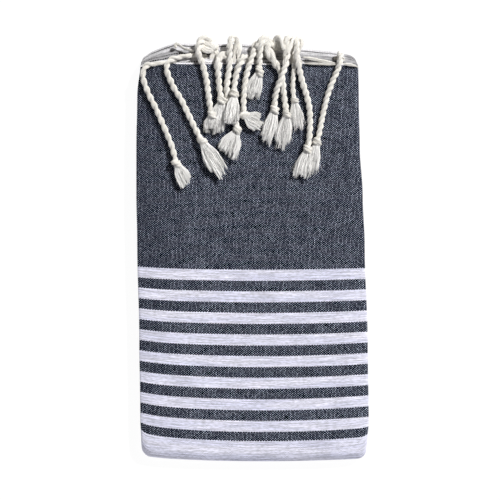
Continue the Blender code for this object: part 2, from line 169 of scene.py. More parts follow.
# ---- the fringe ------------------------------------------------------
MM = 0.001
PLY_OFFSET = 0.00138     # a ply's middle from the rope's
YARN_OFFSET = 0.00172    # a yarn's middle from its ply's
YARN_RADIUS = 0.00062
YARNS = 11               # round each of the two plies
BUNDLE_YARNS = 16
BUNDLE_TURN = 0.080      # length of a bundle to a full twist
BUNDLE_FLAT = 0.55       # its depth against its width
ROLL_POINTS = 1.1        # mm from one point of a roll to the next
FRAYED = 4.0             # where the lengths of frayed yarn are counted from
YARN_TURN = 0.030        # the yarns' own twist, against the rope's
YARN_SIDES = 5
YARN_VARIES = (0.90, 1.12)              # in thickness, from one to another
STEP = 0.0013            # between points along a yarn
HIDDEN = 0.0055          # how far under the next layer its yarns begin
SLACK = 0.0030           # how far a loose rope's middle sags towards the hem
NECK = (0.20, 0.0042)    # a rope thins by this share towards its knot, over this reach
KNOT_WRAP = 0.0036       # the wrap's middle from the knot's axis
KNOT_TURNS = 2.55
KNOT_PITCH = 0.0037
KNOT_LEAN = 0.42         # slope of the wraps
KNOT_POINTS = 58
KNOT_THIN = 0.64         # the rope's thickness in the knot, as a share
KNOT_LAY = 0.034         # length of rope in the knot to a full twist
# A brush is yarn that has come apart, and finer fibres: how many, points along each,
# thickness, sides, and how far they stray.
BRUSH = ((40, 12, 0.00095, 5, 0.7), (150, 17, 0.00045, 3, 1.1), (80, 14, 0.00015, 3, 2.6))
BRUSH_ROOT = 0.0030      # half its width at the knot, and half its depth
BRUSH_STARTS = 0.0012    # past the knot's middle
LOCKS = 10
LOCK_STRAYS = 0.12       # off its even place, as a share of half the brush's width
LOCK_ENDS = (0.70, 1.04)                # how far each lock reaches, as a share
YARN_ENDS = (0.82, 1.07)                # and each yarn in it
CLUMP = 0.55             # how much of the way to its lock a yarn is drawn
CURL = 0.00030           # how far a yarn waves
BEND = 0.0012            # and how far its end bends aside
ROLLS = (
    # along the front hem, in mm: from x, above the hem; to x, above the hem; thickness
    # against a rope's; lift
    (-119, 0.6, -90, 1.0, 0.60, 0.3),
    (56, 7.6, 94, 0.8, 0.80, 1.9),
    (58, 0.6, 93, 0.2, 0.55, 2.6),
    (98, 2.0, 117, 0.4, 0.72, 2.4),
)
BUNDLES = (
    # loose warp ends round the tassels' roots, in mm: width at each end, places and lifts
    (6.0, 7.0, ((-58.5, 227.5, 3.5), (-55.8, 221.4, 3.0),
                (-50.2, 218.7, 2.5), (-43.6, 219.8, 1.5))),
    (7.0, 7.5, ((-58.5, 228.6, 1.0), (-51.3, 227.0, 1.5),
                (-44.7, 223.6, 1.5), (-41.4, 218.7, 0.5))),
    (8.0, 5.0, ((-27.2, 211.0, 0.6), (-31.5, 213.1, 2.6),
                (-35.9, 210.9, 3.8), (-37.5, 205.4, 4.2))),
    (7.5, 8.0, ((5.5, 220.0, 6.0), (10.0, 227.0, 4.6),
                (16.0, 227.6, 3.4), (20.4, 221.0, 1.0))),
    (9.5, 7.0, ((27.1, 218.7, -3.5), (28.2, 230.8, 0.0),
                (32.6, 230.2, 4.5), (36.3, 217.0, 8.2))),
    (5.0, 4.5, ((50.0, 224.2, 5.0), (46.8, 231.2, 3.0),
                (43.6, 226.0, 7.5), (38.3, 213.0, 9.8))),
    (3.0, 2.0, ((-85.0, 220.9, 0.5), (-84.0, 225.6, 0.6),
                (-75.6, 220.9, 1.4), (-64.6, 217.4, 1.6))),
)
# A tassel, in mm: the hem layer it leaves, counted from the front, and where; how far its
# warp ends take to gather, how far from there its two plies leave the hem, and how widely
# each fans out; how many times looser it is near the hem, and its twist's length. Then its
# run, as places and lifts off the front, its knot, its brush's tips and half its width,
# and its thickness as a share.
TASSELS = {
    "tassel_01": {
        "hem": 1, "root_x": -97.7, "gather": 26,
        "split": (0, 8), "fan": 6, "loose": 1.00, "turn": 19.0,
        "run": ((-106.6, 203.2, 2.4), (-116.0, 202.2, 3.0), (-120.0, 197.1, 3.9),
                (-121.1, 189.9, 3.9), (-118.9, 181.1, 3.9), (-113.7, 167.9, 3.9),
                (-107.3, 155.7, 3.9), (-101.6, 142.5, 3.9), (-94.4, 125.9, 3.9),
                (-89.1, 112.6, 4.2), (-86.0, 101.6, 5.2)),
        "knot": (-83.9, 93.3, 5.7), "tips": (-71.8, 68.8, 6.0), "spread": 7.4, "size": 0.92},
    "tassel_02": {
        "hem": 3, "root_x": -63.5, "gather": 30,
        "split": (0, 7), "fan": 5, "loose": 1.00, "turn": 18.0,
        "run": ((-71.2, 212.6, 0.5), (-82.3, 210.4, 1.7), (-91.4, 206.8, 3.2),
                (-95.1, 198.8, 3.9), (-92.7, 189.9, 3.9), (-86.1, 175.6, 3.9),
                (-78.5, 163.4, 3.9), (-71.8, 149.6, 3.9), (-65.7, 136.9, 4.0),
                (-60.2, 125.9, 5.0)),
        "knot": (-56.0, 118.2, 5.7), "tips": (-33.5, 79.5, 6.6), "spread": 8.8, "size": 0.95},
    "tassel_03": {
        "hem": 3, "root_x": -40.5, "gather": 20,
        "split": (-3, 2), "fan": 4, "loose": 1.70, "turn": 16.0,
        "run": ((-43.2, 226.6, -4.0), (-50.6, 232.6, 0.6), (-58.4, 227.4, 6.2),
                (-60.2, 216.4, 5.8), (-55.2, 203.2, 4.3), (-50.9, 185.5, 4.1),
                (-48.7, 170.1, 4.2), (-46.9, 156.8, 4.8)),
        "knot": (-44.8, 147.6, 5.4), "tips": (-46.0, 127.6, 3.6), "spread": 8.0, "size": 1.0},
    "tassel_04": {
        "hem": 3, "root_x": -38.3, "gather": 14,
        "split": (-2, 2), "fan": 3, "loose": 1.25, "turn": 16.0,
        "run": ((-38.1, 206.6, 3.9), (-38.0, 194.4, 3.9), (-36.9, 181.1, 3.9),
                (-36.0, 171.8, 4.9)),
        "knot": (-34.0, 163.0, 6.0), "tips": (-41.0, 129.5, 7.0), "spread": 9.0, "size": 1.0},
    "tassel_05": {
        "hem": 2, "root_x": -16.5, "gather": 20,
        "split": (-4.5, 1.5), "fan": 2, "loose": 1.30, "turn": 16.0,
        "run": ((-16.7, 226.6, -4.0), (-21.3, 232.4, 1.2), (-24.7, 225.8, 6.8),
                (-25.3, 212.0, 5.0), (-25.6, 199.9, 3.9), (-27.4, 187.7, 3.9),
                (-28.5, 177.8, 3.9), (-28.1, 169.0, 3.9), (-26.0, 160.1, 3.9),
                (-22.3, 151.3, 3.9), (-19.4, 141.5, 4.6)),
        "knot": (-17.1, 130.3, 5.7), "tips": (-29.6, 100.0, 6.2), "spread": 11.0, "size": 1.0},
    "tassel_06": {
        "hem": 2, "root_x": -6.5, "gather": 16,
        "split": (-2, 3), "fan": 3, "loose": 1.10, "turn": 16.0,
        "run": ((-9.4, 211.8, 1.6), (-13.8, 204.4, 3.8), (-17.3, 194.4, 3.9),
                (-19.7, 181.2, 4.8)),
        "knot": (-20.4, 169.4, 7.2), "tips": (-24.0, 138.0, 12.0), "spread": 7.0, "size": 1.0},
    "tassel_07": {
        "hem": 4, "root_x": 3.5, "gather": 16,
        "split": (-2, 2), "fan": 2, "loose": 1.15, "turn": 15.5,
        "run": ((3.4, 226.6, -2.8), (2.0, 219.6, 2.4), (-0.8, 210.6, 3.9),
                (-5.0, 197.7, 3.9), (-8.1, 183.3, 3.9), (-9.6, 169.0, 3.9),
                (-10.0, 156.8, 4.6)),
        "knot": (-9.4, 146.3, 5.7), "tips": (9.4, 136.5, 6.4), "spread": 10.0, "size": 0.95},
    "tassel_08": {
        "hem": 4, "root_x": 20.5, "gather": 20,
        "split": (-2, 2), "fan": 3, "loose": 1.60, "turn": 15.0,
        "run": ((20.8, 226.4, -4.0), (15.1, 232.8, 1.2), (9.5, 227.6, 6.8),
                (8.3, 216.4, 5.6), (7.8, 206.8, 4.5)),
        "knot": (7.7, 194.9, 5.2), "tips": (-2.0, 164.5, 4.2), "spread": 7.5, "size": 1.0},
    "tassel_09": {
        "hem": 4, "root_x": 17.5, "gather": 24,
        "split": (-2, 2), "fan": 3, "loose": 1.60, "turn": 15.5,
        "run": ((16.0, 226.0, 0.5), (17.6, 219.4, 3.4), (20.6, 212.4, 4.2),
                (25.2, 204.4, 3.9), (30.6, 194.6, 3.9), (33.2, 185.5, 3.9),
                (34.3, 172.3, 3.9), (36.1, 159.0, 4.8)),
        "knot": (37.5, 148.0, 5.7), "tips": (32.0, 111.0, 6.0), "spread": 8.0, "size": 0.95},
    "tassel_10": {
        "hem": 3, "root_x": 43.0, "gather": 34,
        "split": (-4, 1), "fan": 5, "loose": 1.35, "turn": 15.5,
        "run": ((43.3, 223.6, -4.6), (40.8, 230.4, -2.0), (39.2, 232.9, 2.0),
                (38.0, 230.4, 5.8), (37.5, 222.4, 7.8), (37.5, 212.6, 7.8),
                (36.1, 201.0, 10.0), (32.1, 188.8, 11.6), (27.5, 176.7, 9.0),
                (24.6, 164.5, 5.8)),
        "knot": (24.3, 152.9, 5.3), "tips": (15.6, 116.0, 6.2), "spread": 7.4, "size": 1.0},
    "tassel_11": {
        "hem": 2, "root_x": 48.6, "gather": 12,
        "split": (-3, 3), "fan": 3, "loose": 1.00, "turn": 14.0,
        "run": ((46.6, 204.6, 3.2), (45.2, 192.1, 3.2), (44.5, 176.7, 3.6)),
        "knot": (46.2, 162.9, 5.0), "tips": (50.0, 130.0, 5.4), "spread": 7.0, "size": 0.8},
    "tassel_12": {
        "hem": 3, "root_x": 53.5, "gather": 20,
        "split": (-7, -4), "fan": 3, "loose": 1.20, "turn": 16.0,
        "run": ((53.0, 226.4, -4.0), (49.8, 232.2, 1.6), (48.3, 225.2, 7.8),
                (48.8, 214.2, 8.8), (50.0, 204.3, 8.8), (52.2, 194.4, 6.4),
                (55.3, 182.2, 3.9), (59.5, 169.0, 3.9), (62.6, 154.6, 3.9),
                (63.5, 139.1, 3.9), (62.6, 121.7, 4.8)),
        "knot": (60.7, 108.8, 5.7), "tips": (53.0, 77.3, 6.0), "spread": 8.5, "size": 1.0},
    "tassel_13": {
        "hem": 4, "root_x": 96.5, "gather": 12,
        "split": (-3, 3), "fan": 3, "loose": 1.00, "turn": 15.0,
        "run": ((97.0, 214.5, 2.8), (96.4, 206.0, 5.4), (93.9, 196.7, 4.3),
                (88.5, 184.4, 3.9), (83.2, 170.1, 3.9), (79.2, 154.6, 3.9),
                (76.1, 140.2, 3.9), (73.4, 126.0, 4.8)),
        "knot": (70.8, 116.5, 5.7), "tips": (65.2, 83.4, 6.0), "spread": 5.8, "size": 0.95},
}

# ---- colours, linear -------------------------------------------------
WEFT_COLOUR = (0.0030, 0.0042, 0.0140)
WARP_COLOUR = (0.67, 0.74, 0.89)
STRIPE_COLOURS = ((0.82, 0.81, 0.925), (0.74, 0.74, 0.885))
HEM_COLOUR = (0.84, 0.825, 0.845)       # of the whites along the hems and at the head
YARN_COLOURS = ((0.82, 0.80, 0.755), (0.79, 0.755, 0.69))
# The brush's yarn is whiter: partly cotton fluffed out, partly painted light against the shade
# between its strands.
FRAYED_AND_LIT_COLOUR = (0.85, 0.835, 0.81)

# ---- the camera and the light ----------------------------------------
PIXEL = 0.0011043        # at the height of the front
PHOTO_SIDE = 500
AIM = (-0.0028, -0.0022)
CAMERA_HEIGHT = 2.6
SENSOR = 0.036
SKY = 0.10
SUNS = (
    # name, strength, width in degrees, where it stands, colour
    ("key", 4.2, 4, (0.55, 0.58, 0.74), (1.0, 1.0, 1.0)),
    ("fill", 1.3, 40, (-0.25, -1.0, 0.22), (0.90, 0.92, 1.0)),
)
FLOOR_HALF = 6.0
FLOOR_GLOW = 0.96        # the floor's own light, which keeps it white


def smooth(value):
    """Eases from 0 to 1."""
    value = np.clip(value, 0, 1)
    return value * value * (3 - 2 * value)


def unit(vectors):
    return vectors / np.maximum(np.linalg.norm(vectors, axis=-1, keepdims=True), 1e-12)


# ---- how the folded packet is drawn out of square, as in the solids ----
def sides_at(y):
    """Where the left and right sides lie at this height up the towel."""
    k = np.clip(np.searchsorted(SIDES[:, 0], y) - 1, 0, len(SIDES) - 2)
    low, high = SIDES[k], SIDES[k + 1]
    t = smooth((y - low[..., 0]) / (high[..., 0] - low[..., 0]))
    return (low[..., 1] + (high[..., 1] - low[..., 1]) * t,
            low[..., 2] + (high[..., 2] - low[..., 2]) * t)


def bow(x, y):
    r = np.abs(x - BOW_CENTRE) / BOW_REACH
    rise = BOW_RISE * r ** 2 + np.where(x < 0, BOW_LEFT * r ** 8, 0)
    share = np.clip((BOW_FROM - y) / BOW_RUN, 0, 1)
    eased, start, run = BOW_FOOT
    return rise * (share - eased * np.clip((start - y) / run, 0, 1))


def head_drop(x, y):
    drop = np.interp(x, HEAD_EDGE[:, 0], HEAD_EDGE[:, 1])
    start, run = HEAD_DROP
    return drop * np.clip((y - start) / run, 0, 1) ** 2


def foot_corner(x, y):
    inside = np.clip((FOLDED_WIDTH / 2 - np.abs(x)) / CORNER_RADIUS, 0, 1)
    lift = CORNER_RADIUS * (1 - np.sqrt(1 - CORNER_ROUND * (1 - inside) ** 2))
    start, run = CORNER
    return lift * smooth((start - y) / run)


def thickness_share(x, y):
    side = np.clip(1 - (FOLDED_WIDTH / 2 - np.abs(x)) / SIDE_THINS[0], 0, 1)
    foot = np.clip(1 - (y - FOOT_Y) / FOOT_THINS[0], 0, 1)
    head = np.clip(1 - (HEAD_Y - y) / HEAD_THINS[0], 0, 1)
    wave = (PAD_WAVE * np.sin(x / 0.027 + y / 0.110)
            + PAD_WAVE * np.sin(y / 0.046 - x / 0.090))
    return (PAD - SIDE_THINS[1] * side ** 2 - FOOT_THINS[1] * foot ** 2
            - HEAD_THINS[1] * head ** 2 + wave)


def creased(x, y):
    """The creases' height as a share of the pad's, fading out towards the hem."""
    total = np.zeros_like(x)
    for x0, y0, x1, y1, reach, height in CREASES:
        start = np.array((x0, y0)) * MM
        along = np.array((x1, y1)) * MM - start
        t = ((x - start[0]) * along[0] + (y - start[1]) * along[1]) / (along @ along)
        t = np.clip(t, 0, 1)
        off = np.hypot(x - start[0] - along[0] * t, y - start[1] - along[1] * t)
        total = total + height * MM / HEIGHT * np.exp(-(off / (reach * MM)) ** 2)
    return total * smooth((CREASES_FADE[0] - y) / CREASES_FADE[1])


def settle(x, y, z):
    """Takes places on the square packet to where they lie on the real, uneven one."""
    left, right = sides_at(y)
    across = (x + FOLDED_WIDTH / 2) / FOLDED_WIDTH
    new_y = y + bow(x, y) - head_drop(x, y) + foot_corner(x, y)
    share = thickness_share(x, y) + creased(x, y)
    return np.stack((left + (right - left) * across, new_y, z * share), axis=-1)


def square_x(x, y):
    """Where across the square packet a place on the uneven one lies."""
    left, right = sides_at(np.asarray(y, float))
    return FOLDED_WIDTH * ((x - left) / (right - left) - 0.5)


def front_height(x, y):
    """The height of the front face."""
    y = np.minimum(y, HEAD_Y)
    inside = np.clip(square_x(x, y), LEFT_CENTRE, RIGHT_CENTRE)
    return HEIGHT * (thickness_share(inside, y) + creased(inside, y))


# ---- folding ---------------------------------------------------------
def fold_line(start, heading, steps):
    """Walks a folded section. Each step is a run (length, pieces) or a half turn
    (radius, pieces, way). Rows of length along it, the place and the heading."""
    place = np.array(start, float)
    angle = heading
    length = 0.0
    nodes = [(length, *place, angle)]
    for kind, size, pieces, way in steps:
        ahead = np.array((math.cos(angle), math.sin(angle)))
        if kind == "run":
            for k in range(1, pieces + 1):
                done = size * k / pieces
                nodes.append((length + done, *(place + ahead * size * k / pieces), angle))
            place = place + ahead * size
            length += size
        else:
            side = np.array((-ahead[1], ahead[0])) * way
            middle = place + side * size
            for k in range(1, pieces + 1):
                turned = math.pi * k / pieces
                spot = (middle - side * size * math.cos(turned)
                        + ahead * size * math.sin(turned))
                nodes.append((length + size * turned, *spot, angle + way * turned))
            place = middle + side * size
            angle += way * math.pi
            length += size * math.pi
    return np.array(nodes)


def width_fold():
    """Across: the selvedges fold in, and then one half over the other."""
    return fold_line((LEFT_CENTRE + OUTER * SELVEDGE, 0.5 * LAYER), math.pi, (
        ("run", OUTER * SELVEDGE, 13, 0),
        ("turn", LAYER / 2, 5, -1),
        ("run", OUTER, 84, 0),
        ("turn", 1.5 * LAYER, 9, -1),
        ("run", OUTER, 13, 0),
        ("turn", LAYER / 2, 5, -1),
        ("run", OUTER * SELVEDGE, 13, 0),
    ))


def length_fold():
    """Along: rolled flat in four, the fringed end in front and the other inside."""
    full = HEAD_CENTRE - FOOT_CENTRE
    return fold_line((HEM_Y, 3 * PACKET + HALF), math.pi, (
        ("run", HEM_Y - FOOT_CENTRE, 143, 0),
        ("turn", 1.5 * PACKET, 12, 1),
        ("run", full, 54, 0),
        ("turn", PACKET, 8, 1),
        ("run", full, 22, 0),
        ("turn", PACKET / 2, 6, 1),
        ("run", full - END_GAP, 22, 0),
    ))


def make_mesh(name, points, faces, uvs, uv_name):
    """A mesh from arrays. faces is a list of arrays, each of faces with as many
    corners; uvs has a row for each corner in the same order."""
    mesh = bpy.data.meshes.new(name)
    corners = np.concatenate([block.ravel() for block in faces])
    sizes = np.concatenate([np.full(len(block), block.shape[1]) for block in faces])
    mesh.vertices.add(len(points))
    mesh.vertices.foreach_set("co", points.astype(np.float32).ravel())
    mesh.loops.add(len(corners))
    mesh.loops.foreach_set("vertex_index", corners.astype(np.int32))
    mesh.polygons.add(len(sizes))
    mesh.polygons.foreach_set("loop_start", (np.cumsum(sizes) - sizes).astype(np.int32))
    mesh.polygons.foreach_set("use_smooth", np.ones(len(sizes), bool))
    mesh.update(calc_edges=True)
    layer = mesh.uv_layers.new(name=uv_name)
    layer.data.foreach_set("uv", uvs.astype(np.float32).ravel())
    mesh.validate()
    made = bpy.data.objects.new(name, mesh)
    bpy.context.scene.collection.objects.link(made)
    return made


def hem_curl(x):
    """How far the front hem stands up where warp ends lie along it."""
    return np.interp(x, HEM_CURL[:, 0], HEM_CURL[:, 1])


def make_cloth():
    """The whole cloth, a thin slab on its folds."""
    across = width_fold()
    along = length_fold()
    u, spot_x, spot_h, heading = (column[None, :] for column in across.T)
    v, place_y, place_z, turned = (column[:, None] for column in along.T)
    hem_share = np.where(v == 0, 1.0, 0.0)
    depth = 1.5 - spot_h / LAYER
    edge = np.clip(1 - v / HEM_FULL[0], 0, 1)
    half = SHEET / 2 * (1 + HEM_FULL[1] * np.sin(math.pi * edge))
    sheets = []
    for side in (-1, 1):
        rise = side * half
        x = spot_x - np.sin(heading) * rise
        h = spot_h + np.cos(heading) * rise
        y = place_y + np.sin(turned) * h + HEM_STEP * depth * hem_share
        z = place_z - np.cos(turned) * h + hem_curl(spot_x) * hem_share * (depth < 0.5)
        sheets.append(settle(x + 0 * y, y, z + 0 * x))
    rows, columns = sheets[0].shape[:2]
    points = np.concatenate([sheet.reshape(-1, 3) for sheet in sheets])
    grid = np.arange(rows * columns).reshape(rows, columns)
    under = np.stack((grid[:-1, :-1], grid[:-1, 1:], grid[1:, 1:], grid[1:, :-1]), -1)
    under = under.reshape(-1, 4)
    layer = rows * columns
    over = under[:, ::-1] + layer
    rim = np.concatenate((grid[0, :], grid[1:, -1], grid[-1, -2::-1], grid[-2::-1, 0]))
    edges = np.stack((rim[1:], rim[:-1], rim[:-1] + layer, rim[1:] + layer), -1)
    flat = np.stack((u + 0 * v, v - HEM_STEP * depth * hem_share), -1).reshape(-1, 2)
    uv = np.concatenate((flat, flat))
    faces = np.concatenate((under, over, edges))
    return make_mesh("towel_cloth", points, [faces], uv[faces.ravel()], "cloth")


# ---- tubes along many paths ------------------------------------------
def frames_along(paths):
    """Tangents and two cross directions that turn as little as they can."""
    ahead = unit(np.gradient(paths, axis=-2))
    first = np.cross(ahead[..., 0, :], (0.31, 0.24, 0.92))
    normal = unit(first)
    normals = [normal]
    for k in range(1, paths.shape[-2]):
        now = ahead[..., k, :]
        normal = unit(normal - now * (normal * now).sum(-1, keepdims=True))
        normals.append(normal)
    normals = np.stack(normals, axis=-2)
    return ahead, normals, np.cross(ahead, normals)


def tubes(paths, radii, sides, sink, start=0.0):
    """Adds closed tubes to sink: paths (strands, points, 3) and radii alike. Their length
    is counted from start, and each strand's from a place of its own."""
    strands, count = paths.shape[:2]
    _, normal, binormal = frames_along(paths)
    angle = 2 * math.pi * np.arange(sides) / sides
    ring = (normal[:, :, None, :] * np.cos(angle)[:, None]
            + binormal[:, :, None, :] * np.sin(angle)[:, None])
    points = paths[:, :, None, :] + ring * radii[:, :, None, None]
    index = np.arange(strands * count * sides).reshape(strands, count, sides) + sink["count"]
    turned = np.roll(index, -1, axis=2)
    quads = np.stack((index[:, :-1], turned[:, :-1], turned[:, 1:], index[:, 1:]), -1)
    length = np.concatenate((np.zeros((strands, 1)), np.linalg.norm(
        np.diff(paths, axis=1), axis=-1).cumsum(axis=1)), axis=1)
    offset = start + (np.arange(strands) * 0.37 % 1)[:, None]
    s = (length + offset)[:, :, None] + 0 * angle
    a = (np.arange(sides) / sides) + 0 * s
    corner_s = np.stack((s[:, :-1], s[:, :-1], s[:, 1:], s[:, 1:]), -1)
    corner_a = np.stack((a[:, :-1], a[:, :-1] + 1 / sides, a[:, 1:] + 1 / sides, a[:, 1:]), -1)
    sink["points"].append(points.reshape(-1, 3))
    sink["quads"].append(quads.reshape(-1, 4))
    sink["quad_uv"].append(np.stack((corner_s, corner_a), -1).reshape(-1, 2))
    for ring_of, at in ((index[:, 0, ::-1], s[:, 0]), (index[:, -1], s[:, -1])):
        sink["caps"].setdefault(sides, []).append(ring_of)
        sink["cap_uv"].setdefault(sides, []).append(np.stack((at, a[:, 0]), -1).reshape(-1, 2))
    sink["count"] += points.shape[0] * count * sides


def new_sink():
    """What tubes are gathered in before they become one mesh."""
    return {"count": 0, "points": [], "quads": [], "quad_uv": [], "caps": {}, "cap_uv": {}}


def mesh_of(name, sink):
    faces = [np.concatenate(sink["quads"])]
    uvs = [np.concatenate(sink["quad_uv"])]
    for sides, rings in sink["caps"].items():
        faces.append(np.concatenate(rings))
        uvs.append(np.concatenate(sink["cap_uv"][sides]))
    return make_mesh(name, np.concatenate(sink["points"]), faces, np.concatenate(uvs), "strand")


def curve_through(points, spacing):
    """An even walk along a smooth curve through the points."""
    points = np.array(points, float)
    ends = np.concatenate((points[:1] * 2 - points[1:2], points, points[-1:] * 2 - points[-2:-1]))
    t = np.arange(24)[:, None] / 24
    fine = []
    for a, b, c, d in zip(ends, ends[1:], ends[2:], ends[3:]):
        fine.append(0.5 * (2 * b + (c - a) * t + (2 * a - 5 * b + 4 * c - d) * t * t
                           + (3 * b - a - 3 * c + d) * t ** 3))
    fine = np.concatenate(fine + [points[-1:]])
    lengths = np.concatenate(((0,), np.linalg.norm(np.diff(fine, axis=0), axis=1).cumsum()))
    even = np.linspace(0, lengths[-1], max(8, round(lengths[-1] / spacing)) + 1)
    return np.stack([np.interp(even, lengths, fine[:, k]) for k in range(3)], -1), even


def hem_point(hem, x):
    """A place on a layer's hem, counted from the front one."""
    step = (hem - 1) * HEM_STEP
    height = HEIGHT - SHEET / 2 - (hem - 1) * LAYER
    x = np.asarray(x, float)
    return settle(square_x(x, HEM_Y + 0 * x), HEM_Y + step + 0 * x, height + 0 * x)


def plies(walk, lay, even, swell):
    """The yarns of a rope of two plies along a walk: each ply's middle and the yarns'
    places round it, from the angle the plies have turned by at each point."""
    _, normal, binormal = frames_along(walk)
    middles = []
    rounds = []
    for ply in (0, 1):
        turned = lay + math.pi * ply
        middle = np.cos(turned)[:, None] * normal + np.sin(turned)[:, None] * binormal
        middles.append(middle * (PLY_OFFSET * swell)[:, None])
        own = 2 * math.pi * (np.arange(YARNS)[:, None] / YARNS - even / YARN_TURN)
        off = np.cos(own)[..., None] * normal + np.sin(own)[..., None] * binormal
        rounds.append(off * (YARN_OFFSET * swell)[:, None])
    return np.array(middles)[:, None], np.array(rounds)


def unsteady(random, lines, amount, every):
    """Moves the yarns a little off their even courses, each in its own way."""
    strands, count = lines.shape[:2]
    knots = random.normal(0, amount, (strands, count // every + 2, 3))
    at = np.linspace(0, knots.shape[1] - 1, count)
    low = np.minimum(at.astype(int), knots.shape[1] - 2)
    t = smooth(at - low)[None, :, None]
    return lines + knots[:, low] * (1 - t) + knots[:, low + 1] * t


def above_front(x, y, lift):
    """A place given in mm, lifted off the front face."""
    return x * MM, y * MM, front_height(x * MM, y * MM) + lift * MM


def make_tassel(name, row, number):
    """A tassel from under its hem to its brush's tips."""
    random = np.random.default_rng(100 + number)
    sink = new_sink()
    edge = hem_point(row["hem"], row["root_x"] * MM)
    hidden = HIDDEN if row["hem"] > 1 else 0.0
    points = [edge + (0, -hidden, 0.0009), edge + (0, 0.0008, 0.0013)]
    for place in row["run"] + (row["knot"],):
        points.append(above_front(*place))
    tips = np.array(above_front(*row["tips"]))
    knot = np.array(points[-1])
    out = unit(tips - knot)
    points.append(knot + out * 0.004)
    walk, even = curve_through(points, STEP)
    rope(row, walk, even, hidden, knot, number, random, sink)
    knotted(knot, out, row["size"], number, random, sink)
    brush(knot, tips, row, random, sink)
    return mesh_of(name + "_rope", sink)


def rope(row, walk, even, hidden, knot, number, random, sink):
    """Yarns leave the hem side by side, gather into two plies and twist into a rope."""
    gather = row["gather"] * MM
    shown = even - hidden
    near_knot = np.linalg.norm(walk - knot, axis=1)
    swell = row["size"] * (1 - NECK[0] * np.exp(-(near_knot / NECK[1]) ** 2))
    slack = (row["loose"] - 1) * (1 - smooth((shown - 0.8 * gather) / (1.3 * gather)))
    slack = slack * smooth(shown / 0.012 + 0.2)
    loose = 1 + slack
    walk = walk - np.outer(slack, (0, SLACK, 0))
    turning = np.gradient(even) / (row["turn"] * MM * loose ** 2)
    lay = 0.7 * number + 2 * math.pi * turning.cumsum()
    middles, rounds = plies(walk, lay, even, swell * loose)
    together = smooth(shown / gather + 0.45 * (row["loose"] - 1))[:, None]
    rounded = smooth(shown / (0.45 * gather) + 0.35)[:, None]
    parted = (1 - shown / gather).clip(0, 1)[:, None] ** 1.3
    fanned = (1 - shown / (0.6 * gather)).clip(0, 1)[:, None] ** 1.5
    # The yarns rise from flat at the hem.
    level = np.ones_like(even)
    standing = np.stack((level, level, 0.2 + 0.8 * smooth(shown / 0.007)), -1)
    lines = []
    edge = hem_point(row["hem"], row["root_x"] * MM)
    for ply, part in enumerate(row["split"]):
        at = row["root_x"] + part
        start = hem_point(row["hem"], at * MM)
        fan = at + row["fan"] * np.linspace(-1, 1, YARNS)
        beside = hem_point(row["hem"], fan * MM)
        middle = (start - edge) * parted + middles[ply] * together
        spread = (beside - start)[:, None, :] * fanned + rounds[ply] * rounded
        lines.append(walk + (middle + spread) * standing)
    lines = unsteady(random, np.concatenate(lines), 0.00010, 6)
    radii = YARN_RADIUS * swell * loose ** 0.8 * (0.80 + 0.20 * together[:, 0])
    radii = radii[None, :] * random.uniform(*YARN_VARIES, (2 * YARNS, 1))
    tubes(lines, radii, YARN_SIDES, sink)


def knotted(knot, out, size, number, random, sink):
    """The rope's end wrapped round itself, slanting, and tucked in."""
    side = unit(np.cross((0, 0, 1), out))
    over = np.cross(out, side)
    angle = np.linspace(0, KNOT_TURNS * 2 * math.pi, KNOT_POINTS)
    mid = angle / angle[-1]
    away = KNOT_WRAP * size * smooth(np.minimum(mid, 1 - mid) * 5.5)
    along = (mid - 0.5) * KNOT_PITCH * KNOT_TURNS * size * 0.80
    spin = angle + 0.9 * number
    wrap = (knot + out * (along + KNOT_LEAN * away * np.cos(spin))[:, None]
            + side * (away * np.cos(spin))[:, None] + over * (away * np.sin(spin))[:, None])
    lengths = np.concatenate(((0,), np.linalg.norm(np.diff(wrap, axis=0), axis=1).cumsum()))
    tight = size * (KNOT_THIN + 0.07 * np.sin(spin + 1.0))
    middles, rounds = plies(wrap, 1.0 + 2 * math.pi * lengths / KNOT_LAY, lengths, tight)
    lines = (wrap + middles + rounds).reshape(2 * YARNS, -1, 3)
    lines = unsteady(random, lines, 0.00007, 6)
    tubes(lines, np.tile(YARN_RADIUS * tight * 1.04, (2 * YARNS, 1)), YARN_SIDES, sink)


